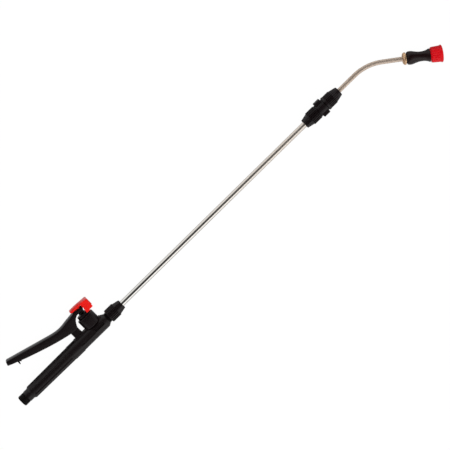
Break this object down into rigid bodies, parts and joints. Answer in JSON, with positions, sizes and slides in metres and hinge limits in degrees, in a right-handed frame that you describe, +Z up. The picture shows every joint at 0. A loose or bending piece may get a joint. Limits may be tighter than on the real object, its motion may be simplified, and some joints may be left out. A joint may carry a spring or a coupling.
{
  "type": "sprayer lance",
  "caption": "Telescopic sprayer lance with a squeeze-lever shut-off handle, a lock latch, a bent sliding tip tube and an adjustable spray nozzle.",
  "frame": {"origin": "centre of the end face of the hose inlet, on the axis of the tubes", "axes": "+X along the tubes from the hose inlet towards the nozzle, +Y towards the side of the lever, +Z up from the surface that the lance lies on"},
  "size_m": [0.9165, 0.1581, 0.0308],
  "materials": {
    "handle_black": "satin moulded black plastic",
    "thread_black": "matt black plastic thread",
    "nut_black": "satin black ribbed plastic",
    "nozzle_black": "smooth black plastic",
    "latch_red": "glossy red plastic",
    "cap_red": "glossy red plastic",
    "tube_steel": "polished stainless steel",
    "tip_steel": "drawn stainless steel",
    "pin_steel": "turned steel",
    "stem_steel": "turned stainless steel",
    "spring_steel": "spring wire",
    "brass": "turned brass",
    "seal_rubber": "black rubber",
    "bush_plastic": "natural white plastic"
  },
  "bodies": {
    "handle": {"grip_body": "handle_black", "inlet_fitting": "thread_black", "inlet_seal": "seal_rubber", "strainer": "bush_plastic", "lever_pivot_pin": "pin_steel", "valve_seat": "brass", "valve_cap": "nut_black", "cap_gasket": "seal_rubber", "gland_nut": "nut_black", "gland_seal": "seal_rubber", "valve_spring": "spring_steel", "outlet_seal": "seal_rubber", "outlet_ferrule": "bush_plastic", "outer_tube": "tube_steel", "lower_seal": "seal_rubber", "lower_ferrule": "bush_plastic", "coupling_body": "nut_black", "slide_seal": "seal_rubber", "clamp_collet": "bush_plastic"},
    "lever": {"trigger_lever": "handle_black"},
    "stem": {"valve_stem": "stem_steel", "poppet_seal": "seal_rubber", "stem_pin": "pin_steel"},
    "latch": {"lock_latch": "latch_red"},
    "outlet_nut": {"outlet_nut": "nut_black"},
    "lower_nut": {"lower_nut": "nut_black"},
    "clamp_nut": {"clamp_nut": "nut_black"},
    "tail": {"tail_bush": "bush_plastic"},
    "tip": {"tip_tube": "tip_steel", "brass_collar": "brass", "nozzle_gasket": "seal_rubber", "nozzle_stem": "brass", "nozzle_body": "nozzle_black", "swirl_core": "brass"},
    "cap_seal": {"cap_seal": "seal_rubber"},
    "spray_cap": {"spray_cap": "cap_red", "orifice_disc": "stem_steel"}
  },
  "joints": [
    {"name": "lever_squeeze", "type": "hinge", "parent": "handle", "child": "lever", "pos_m": [0.146, 0.032, 0], "axis": [0, 0, 1], "range_deg": [0, 17], "stiffness_Nm_per_rad": 1.2, "springref_deg": -11.46},
    {"name": "stem_lift", "type": "slide", "parent": "handle", "child": "stem", "axis": [0, 1, 0], "range_m": [0, 0.00811], "deforming": ["valve_spring"]},
    {"name": "latch_tip", "type": "hinge", "parent": "stem", "child": "latch", "pos_m": [0.1756, 0.0446, 0], "axis": [0, 0, 1], "range_deg": [-43, 0]},
    {"name": "tip_extend", "type": "slide", "parent": "handle", "child": "tail", "axis": [1, 0, 0], "range_m": [0, 0.36]},
    {"name": "tip_swivel", "type": "hinge", "parent": "tail", "child": "tip", "pos_m": [0.27, 0, 0], "axis": [1, 0, 0], "continuous": true},
    {"name": "cap_advance", "type": "slide", "parent": "tip", "child": "cap_seal", "axis": [0.8049, -0.5934, 0], "range_m": [0, 0.00225]},
    {"name": "cap_turn", "type": "hinge", "parent": "cap_seal", "child": "spray_cap", "pos_m": [0.85201, -0.03578, 0], "axis": [0.8049, -0.5934, 0], "range_deg": [0, 541]},
    {"name": "outlet_nut_turn", "type": "hinge", "parent": "handle", "child": "outlet_nut", "pos_m": [0.21, 0, 0], "axis": [1, 0, 0], "range_deg": [0, 360]},
    {"name": "lower_nut_turn", "type": "hinge", "parent": "handle", "child": "lower_nut", "pos_m": [0.68, 0, 0], "axis": [-1, 0, 0], "range_deg": [0, 360]},
    {"name": "clamp_nut_turn", "type": "hinge", "parent": "handle", "child": "clamp_nut", "pos_m": [0.72, 0, 0], "axis": [1, 0, 0], "range_deg": [0, 360]}
  ],
  "couplings": [
    {"joint": "stem_lift", "follows": "lever_squeeze", "m_per_rad": 0.027312},
    {"joint": "latch_tip", "follows": "lever_squeeze", "ratio": -2.5294},
    {"joint": "cap_turn", "follows": "cap_advance", "rad_per_m": 4188.8}
  ]
}
